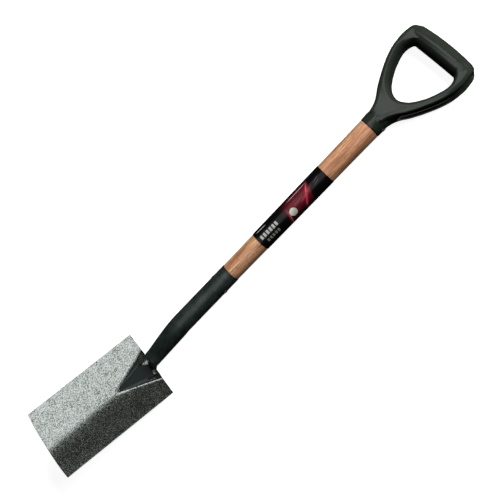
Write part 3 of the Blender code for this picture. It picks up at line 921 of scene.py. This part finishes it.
def make_handle(finish):
    """Arms, grip and collar run together as one moulding, then bored for the shaft and rivet."""
    joined = bmesh.new()
    for bm in (arm_plate(), grip_bar(), collar_cone()):
        part = mesh_from("part", bm)
        joined.from_mesh(part)
        bpy.data.meshes.remove(part)
    moulding = scratch_object("moulding", joined)
    remesh = moulding.modifiers.new("one_skin", "REMESH")
    remesh.mode = "VOXEL"
    remesh.voxel_size = VOXEL
    smooth = moulding.modifiers.new("fillets", "SMOOTH")
    smooth.factor = 0.5
    smooth.iterations = FILLET_PASSES
    cutters = [scratch_object("bore", bore_cutter()), scratch_object("hole", rivet_hole_cutter())]
    for cutter in cutters:
        cut = moulding.modifiers.new(cutter.name, "BOOLEAN")
        cut.operation = "DIFFERENCE"
        cut.solver = "EXACT"
        cut.object = cutter
    bm = bmesh.new()
    bm.from_mesh(settled_mesh(moulding))
    for extra in [moulding] + cutters:
        bpy.data.objects.remove(extra)
    add_piece("moulded_handle", bm, finish, "handle", sharp_angle=50)


# -------- materials

class Finish:
    """A material on a Principled shader, laid out in the spade's own axes."""

    def __init__(self, name, **sockets):
        self.material = bpy.data.materials.new(name)
        self.material.use_nodes = True
        self.tree = self.material.node_tree
        self.shader = self.tree.nodes["Principled BSDF"]
        part_place = self.node("ShaderNodeTexCoord", {}).outputs["Object"]
        back = SPADE.inverted()
        inputs = {"Vector": part_place, "Location": tuple(back.translation)}
        inputs["Rotation"] = tuple(back.to_euler())
        self.place = self.node("ShaderNodeMapping", inputs).outputs["Vector"]
        for socket, value in sockets.items():
            self.set(socket.replace("_", " "), value)

    def set(self, socket, value):
        self.put(self.shader.inputs[socket], value)

    def done(self, colour, roughness, normal):
        """The material, once its shader has these three."""
        self.set("Base Color", colour)
        self.set("Roughness", roughness)
        self.set("Normal", normal)
        return self.material

    def put(self, socket, value):
        if isinstance(value, bpy.types.NodeSocket):
            self.tree.links.new(value, socket)
        elif isinstance(value, tuple) and len(value) == 3 and socket.type == "RGBA":
            socket.default_value = (*value, 1.0)
        else:
            socket.default_value = value

    def node(self, kind, inputs, **settings):
        made = self.tree.nodes.new(kind)
        for key, value in settings.items():
            setattr(made, key, value)
        for key, value in inputs.items():
            self.put(made.inputs[key], value)
        return made

    def axis(self, name):
        return self.node("ShaderNodeSeparateXYZ", {0: self.place}).outputs[name]

    def math(self, operation, *values):
        return self.node("ShaderNodeMath", dict(enumerate(values)), operation=operation).outputs[0]

    def plus(self, first, second):
        return self.math("ADD", first, second)

    def minus(self, first, second):
        return self.math("SUBTRACT", first, second)

    def times(self, first, second):
        return self.math("MULTIPLY", first, second)

    def distance(self, first, second):
        return self.math("ABSOLUTE", self.minus(first, second))

    def stretched(self, scale):
        """Places with each axis scaled, so that features grow longer where the scale is small."""
        inputs = {"Vector": self.place, "Scale": scale}
        return self.node("ShaderNodeMapping", inputs).outputs["Vector"]

    def noise(self, size, place=None, detail=2.0, roughness=0.5, distortion=0.0):
        """Noise with features about size metres wide."""
        inputs = {"Vector": place or self.place, "Scale": 1 / size, "Detail": detail,
                  "Roughness": roughness, "Distortion": distortion}
        return self.node("ShaderNodeTexNoise", inputs).outputs["Fac"]

    def cells(self, size, place=None, feature="F1"):
        """Distance from the nearest cell's middle, in cells, which are about size metres wide."""
        inputs = {"Vector": place or self.place, "Scale": 1 / size}
        return self.node("ShaderNodeTexVoronoi", inputs, feature=feature).outputs["Distance"]

    def band(self, value, low, high, to_low=0.0, to_high=1.0):
        """Smooth step from to_low to to_high while value goes from low to high."""
        inputs = {"Value": value, "From Min": low, "From Max": high, "To Min": to_low, "To Max": to_high}
        made = self.node("ShaderNodeMapRange", inputs, interpolation_type="SMOOTHSTEP")
        return made.outputs["Result"]

    def mix(self, share, first, second):
        """Colour between first and second."""
        inputs = {0: share, 6: first, 7: second}
        return self.node("ShaderNodeMix", inputs, data_type="RGBA").outputs[2]

    def bump(self, height, depth, under=None):
        """Normal for a relief depth metres high, laid over another normal if given."""
        inputs = {"Height": height, "Distance": depth, "Strength": 1.0}
        if under:
            inputs["Normal"] = under
        return self.node("ShaderNodeBump", inputs).outputs["Normal"]


def hammered_finish():
    """Hammer-effect paint: bright metallic flakes in small cells on a dark green ground."""
    finish = Finish("hammered_paint", Metallic=0.95)
    cell = finish.cells(1.5 * MM, feature="SMOOTH_F1")
    grain = finish.noise(1.2 * MM, roughness=0.7)
    patch = finish.noise(14 * MM)
    cover = finish.minus(grain, finish.times(cell, 0.25))
    cover = finish.plus(cover, finish.times(patch, 0.12))
    ground = (0.035, 0.07, 0.025)
    flakes = (0.63, 0.645, 0.64)
    colour = finish.mix(finish.band(cover, 0.35, 0.52), ground, flakes)
    sparkle = finish.noise(2.0 * MM, detail=1)
    roughness = finish.band(sparkle, 0.4, 0.62, 0.1, 0.28)
    coarse = finish.bump(cell, 0.06 * MM)
    return finish.done(colour, roughness, finish.bump(grain, 0.06 * MM, under=coarse))


def tube_finish():
    """Smoother dark green paint of the socket, with a faint grain, and painted shade that darkens it and
    lowers its gloss in the frog.
    """
    finish = Finish("socket_paint", Coat_Weight=0.2, Coat_Roughness=0.3)
    grain = finish.noise(1.4 * MM, detail=3, roughness=0.6)
    patch = finish.noise(12 * MM)
    cover = finish.plus(finish.times(grain, 0.7), finish.times(patch, 0.3))
    ground = (0.006, 0.013, 0.01)
    flakes = (0.036, 0.051, 0.047)
    colour = finish.mix(finish.band(cover, 0.4, 0.6), ground, flakes)
    # Painted shade: the flattened end inside the frog is darkened and its gloss lowered, standing in for
    # shade in the recess.
    frog_painted_shade = finish.band(finish.axis("X"), NECK_X - 4 * MM, NECK_X - 9 * MM)
    colour = finish.mix(frog_painted_shade, colour, (0.008, 0.012, 0.012))
    finish.set("Specular IOR Level", finish.band(frog_painted_shade, 0.0, 1.0, 0.5, 0.2))
    roughness = finish.band(grain, 0.3, 0.7, 0.36, 0.48)
    return finish.done(colour, roughness, finish.bump(grain, 0.12 * MM))


def weld_finish():
    """Dark paint over the weld's uneven bead."""
    finish = Finish("weld_paint", Coat_Weight=0.2, Coat_Roughness=0.3)
    grain = finish.noise(0.9 * MM, detail=3)
    colour = finish.mix(grain, (0.008, 0.013, 0.012), (0.03, 0.04, 0.038))
    roughness = finish.band(grain, 0.3, 0.7, 0.32, 0.5)
    return finish.done(colour, roughness, finish.bump(grain, 0.08 * MM))


def wood_finish():
    """Reddish hardwood with long grain, small brown flecks and a thin varnish."""
    finish = Finish("varnished_wood", Coat_Weight=0.25, Coat_Roughness=0.3)
    figure = finish.noise(7 * MM, finish.stretched((0.07, 1, 1)), detail=3, distortion=0.8)
    fibre = finish.noise(1.6 * MM, finish.stretched((0.04, 1, 1)), detail=3, roughness=0.65)
    pore = finish.noise(0.9 * MM, finish.stretched((0.1, 1, 1)), detail=1)
    fleck = finish.cells(6.5 * MM, finish.stretched((0.5, 1.5, 1.5)))
    tone = finish.plus(finish.times(figure, 0.55), finish.times(fibre, 0.45))
    late_wood = (0.37, 0.14, 0.052)
    early_wood = (0.9, 0.54, 0.285)
    colour = finish.mix(finish.band(tone, 0.39, 0.6), late_wood, early_wood)
    heart = finish.noise(30 * MM, finish.stretched((0.3, 1, 1)))
    reddish = (0.58, 0.25, 0.145)
    colour = finish.mix(finish.band(heart, 0.42, 0.66, 0.0, 0.6), colour, reddish)
    pores = finish.band(pore, 0.58, 0.7, 0.0, 0.6)
    colour = finish.mix(pores, colour, (0.2, 0.075, 0.03))
    marks = finish.band(fleck, 0.17, 0.1, 0.0, 0.75)
    colour = finish.mix(marks, colour, (0.14, 0.05, 0.018))
    roughness = finish.band(fibre, 0.3, 0.7, 0.38, 0.52)
    grain = finish.minus(fibre, finish.times(pores, 0.6))
    return finish.done(colour, roughness, finish.bump(grain, 0.06 * MM))


class PrintedFilm(Finish):
    """Finish with places along the shaft and round it, from the middle of its front."""

    def __init__(self, name, **sockets):
        super().__init__(name, **sockets)
        self.along = self.axis("X")
        right = self.times(self.axis("Y"), -1.0)
        self.around = self.times(self.math("ARCTAN2", right, self.axis("Z")), LABEL_RADIUS)

    def streak(self, start, end, width):
        """Glow about the line between two (along, around) points, given in millimetres."""
        run = Vector(end) - Vector(start)
        length = run.length
        run.normalize()
        x, y = self.from_point(start)
        on = self.plus(self.times(x, run.x), self.times(y, run.y))
        off = self.distance(self.times(y, run.x), self.times(x, run.y))
        ends = self.band(self.distance(on, length / 2 * MM), length / 2 * MM, 0.2 * length * MM)
        return self.times(ends, self.band(off, width * MM, 0.0))

    def blocks(self, start, pitch, count, middle, height):
        """Row of plain upright blocks along the shaft, given in millimetres."""
        steps = self.math("DIVIDE", self.minus(self.along, start * MM), pitch * MM)
        share = self.band(self.distance(self.math("FRACT", steps), 0.5), 0.38, 0.26)
        within = self.math("LESS_THAN", self.distance(steps, count / 2), count / 2)
        side = self.distance(self.around, middle * MM)
        rows = self.band(side, height / 2 * MM, (height / 2 - 0.6) * MM)
        return self.times(self.times(share, within), rows)

    def from_point(self, point):
        """Offsets along and around from a point given in millimetres."""
        return self.minus(self.along, point[0] * MM), self.minus(self.around, point[1] * MM)


# Printed glows on the label, and two near-white lines along it near its left edge that are painted
# highlights, in millimetres along and around: start, end, width and colour.
LABEL_PRINT_AND_GLINTS = (
    ((201, -9), (172, 27), 4.2, (0.42, 0.02, 0.05)),
    ((201, -9), (172, 27), 1.4, (0.8, 0.14, 0.2)),
    ((203, 3), (168, 13), 2.6, (0.45, 0.02, 0.05)),
    ((190, 3), (176, 24), 1.8, (0.5, 0.03, 0.06)),
    ((146, -2), (136, 36), 3.0, (0.3, 0.02, 0.045)),
    ((146, 4), (138, 34), 0.9, (0.5, 0.22, 0.25)),
    ((184, 5.6), (156, 6.4), 0.7, (0.2, 0.1, 0.12)),
    ((180, 8.6), (158, 9.2), 0.5, (0.16, 0.07, 0.09)),
    # Painted highlight: glint line along the film near its left edge.
    ((203, -8), (150, -6.8), 0.8, (0.75, 0.7, 0.68)),
    ((224, -1), (208, 3), 0.5, (0.16, 0.14, 0.2)),
    ((221, 4), (206, 8), 0.5, (0.12, 0.12, 0.2)),
    # Painted highlight: glint line along the film near its left edge.
    ((79, -9), (104, -7.5), 1.3, (0.6, 0.6, 0.58)),
)
LABEL_DOT = (151.6, 13.2)


def label_finish():
    """Glossy black film printed with crimson light streaks, plain blocks and a pale dot, with two
    painted highlight lines near its left edge.
    """
    finish = PrintedFilm("label_film", Specular_IOR_Level=0.25)
    zone = finish.streak((214, 3), (132, 10), 26)
    slant = finish.plus(finish.along, finish.times(finish.around, 0.32))
    zone = finish.times(zone, finish.band(slant, 200.5 * MM, 198.5 * MM))
    waves = finish.noise(16 * MM, finish.stretched((0.35, 1, 1)))
    zone = finish.times(zone, finish.band(waves, 0.2, 0.8, 0.45, 1.0))
    black = (0.004, 0.0035, 0.004)
    crimson = (0.2, 0.012, 0.022)
    colour = finish.mix(zone, black, crimson)
    for start, end, width, tint in LABEL_PRINT_AND_GLINTS:
        colour = finish.mix(finish.streak(start, end, width), colour, tint)
    colour = finish.mix(finish.blocks(80, 6.8, 6, 5.2, 8), colour, (0.5, 0.5, 0.46))
    colour = finish.mix(finish.blocks(86, 6, 5, 16.5, 6), colour, (0.22, 0.22, 0.2))
    x, y = finish.from_point(LABEL_DOT)
    squares = finish.plus(finish.math("POWER", x, 2.0), finish.math("POWER", y, 2.0))
    across_dot = finish.band(finish.plus(x, y), -8 * MM, 8 * MM)
    pearl = finish.mix(across_dot, (0.72, 0.74, 0.66), (0.5, 0.52, 0.44))
    inside = finish.band(finish.math("SQRT", squares), 7.4 * MM, 6.8 * MM)
    wrinkle = finish.noise(14 * MM, finish.stretched((0.3, 1, 1)))
    return finish.done(finish.mix(inside, colour, pearl), 0.25, finish.bump(wrinkle, 0.05 * MM))


def plastic_finish():
    """Smooth green-black plastic, a little cloudy."""
    finish = Finish("moulded_plastic", Specular_IOR_Level=0.5)
    grain = finish.noise(0.5 * MM)
    cloud = finish.noise(22 * MM, detail=3)
    colour = finish.mix(cloud, (0.015, 0.0195, 0.0145), (0.027, 0.0335, 0.0255))
    roughness = finish.band(cloud, 0.3, 0.7, 0.12, 0.18)
    return finish.done(colour, roughness, finish.bump(grain, 0.02 * MM))


def steel_finish():
    """Bright plated steel with small scuffs."""
    finish = Finish("rivet_steel", Metallic=1.0)
    scuff = finish.noise(0.6 * MM, detail=3)
    colour = finish.mix(scuff, (0.5, 0.5, 0.48), (0.78, 0.78, 0.76))
    roughness = finish.band(scuff, 0.3, 0.7, 0.2, 0.4)
    return finish.done(colour, roughness, finish.bump(scuff, 0.03 * MM))


# -------- stage

def add_panel(name, place, aim, size, radiance, colour, mirrored):
    """Soft panel of even radiance, which shows in gloss if mirrored, or else lights matt faces."""
    place = SPADE @ Vector(place)
    aim = SPADE @ Vector(aim)
    light = bpy.data.lights.new(name, "AREA")
    light.shape = "RECTANGLE"
    light.size, light.size_y = size
    light.energy = radiance * math.pi * size[0] * size[1]
    light.color = colour
    lamp = linked(name, light)
    lamp.location = place
    lamp.rotation_euler = (aim - place).to_track_quat("-Z", "Y").to_euler()
    lamp.visible_camera = False
    lamp.visible_glossy = mirrored
    lamp.visible_diffuse = not mirrored


def make_floor():
    """Pale floor that stays light under the spade."""
    finish = Finish("pale_floor", Roughness=0.9, Specular_IOR_Level=0.1)
    finish.set("Base Color", finish.mix(finish.noise(0.4), (0.6, 0.6, 0.6), (0.62, 0.62, 0.62)))
    finish.set("Emission Color", (1.0, 1.0, 1.0))
    finish.set("Emission Strength", FLOOR_GLOW)
    bm = bmesh.new()
    bmesh.ops.create_grid(bm, x_segments=1, y_segments=1, size=FLOOR_REACH)
    mesh = mesh_from("floor", bm)
    mesh.materials.append(finish.material)
    floor = linked("floor", mesh)
    floor.location.z = CAD_LOW.z
    floor.visible_glossy = False
    floor.visible_diffuse = False


def make_lights():
    """Two panels that show in the gloss, a soft fill, and a faint greenish surround."""
    add_panel("overhead", (-0.1, -0.22, 1.5), (-0.1, -0.21, 0), (1.8, 1.12), PANEL_RADIANCE, WHITE, True)
    add_panel("above_handle", (0.85, 0.62, 1.45), (0.42, 0, 0), (0.6, 0.4), PANEL_RADIANCE, WHITE, True)
    add_panel("soft_fill", (2.1, 0.2, 1.6), (0, 0, 0), (2.4, 1.8), FILL_RADIANCE, (1, 1, 1), False)
    world = bpy.data.worlds.new("studio")
    world.use_nodes = True
    surround = world.node_tree.nodes["Background"].inputs
    surround["Color"].default_value = AMBIENT_TINT
    surround["Strength"].default_value = AMBIENT_STRENGTH
    bpy.context.scene.world = world


def make_camera():
    """Camera above the shaft's right side, which looks down on the whole spade."""
    data = bpy.data.cameras.new("camera")
    data.lens = CAMERA_LENS
    data.sensor_width = 36
    data.clip_start = 0.05
    data.clip_end = 100
    camera = linked("camera", data)
    place = SPADE @ CAMERA_PLACE
    back = (place - SPADE @ CAMERA_AIM).normalized()
    up = SPADE.to_3x3() @ CAMERA_UP
    right = up.cross(back).normalized()
    turn = Matrix((right, back.cross(right), back)).transposed()
    camera.matrix_world = Matrix.Translation(place) @ turn.to_4x4()
    bpy.context.scene.camera = camera
    bpy.context.scene.view_settings.view_transform = "Standard"


def main():
    weld_paint = weld_finish()
    steel = steel_finish()
    make_blade(hammered_finish())
    make_socket(tube_finish())
    make_weld("weld_bead_left", "weld_left", 1, weld_paint)
    make_weld("weld_bead_right", "weld_right", -1, weld_paint)
    make_shaft(wood_finish())
    make_label(label_finish())
    make_handle(plastic_finish())
    make_rivet("socket_rivet_steel", "socket_rivet", SOCKET_RIVET_X, SOCKET_RADIUS, steel)
    make_rivet("handle_rivet_steel", "handle_rivet", HANDLE_RIVET_X, COLLAR_RADIUS, steel)
    make_floor()
    make_lights()
    make_camera()


main()
